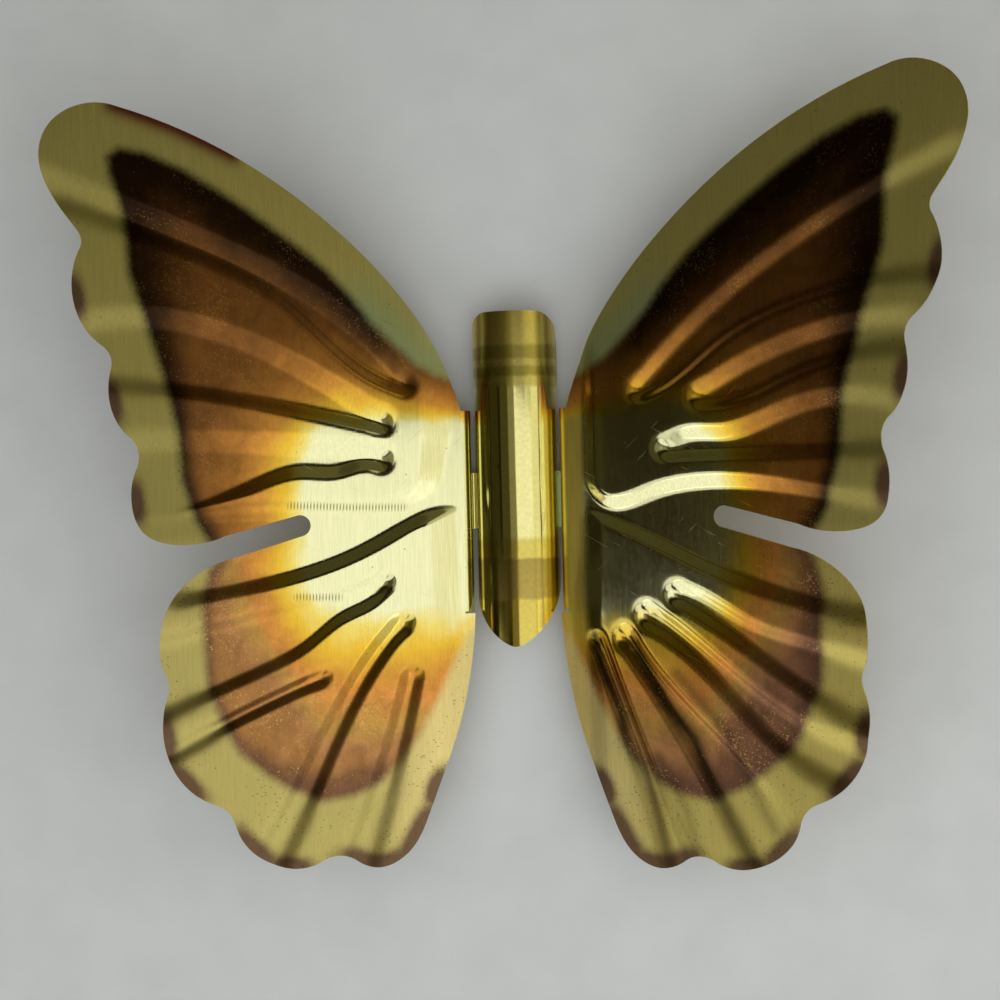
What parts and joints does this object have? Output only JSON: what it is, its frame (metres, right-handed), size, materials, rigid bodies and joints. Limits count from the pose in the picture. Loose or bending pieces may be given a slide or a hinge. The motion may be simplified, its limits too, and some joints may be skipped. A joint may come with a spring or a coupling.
{
  "type": "butterfly wall ornament",
  "caption": "Stamped brass butterfly wall ornament: fluted wings hinged by curled tabs along a half-round body shell, with a hanger strap across the open back.",
  "frame": {"origin": "centre of the nail hole in the hanger strap, on the back plane that lies against the wall or on a table", "axes": "+X across the wings to the picture's right, +Y along the body to the head, +Z out of the back plane towards the viewer"},
  "size_m": [0.2146, 0.1865, 0.0431],
  "materials": {
    "body_brass": "polished brass, lightly tarnished",
    "strap_brass": "plain rolled brass, dull",
    "left_wing_brass": "polished brass under tinted yellow, orange and brown lacquer",
    "right_wing_brass": "polished brass under tinted yellow, orange and brown lacquer"
  },
  "bodies": {
    "body": {"body_shell": "body_brass", "hanger_strap": "strap_brass"},
    "left_wing": {"left_wing": "left_wing_brass"},
    "right_wing": {"right_wing": "right_wing_brass"}
  },
  "joints": [
    {"name": "left_wing_hinge", "type": "hinge", "parent": "body", "child": "left_wing", "pos_m": [-0.0124, -0.0345, 0.00136], "axis": [0, 1, 0], "range_deg": [-20, 10]},
    {"name": "right_wing_hinge", "type": "hinge", "parent": "body", "child": "right_wing", "pos_m": [0.0124, -0.0345, 0.00136], "axis": [0, -1, 0], "range_deg": [-20, 10]}
  ]
}
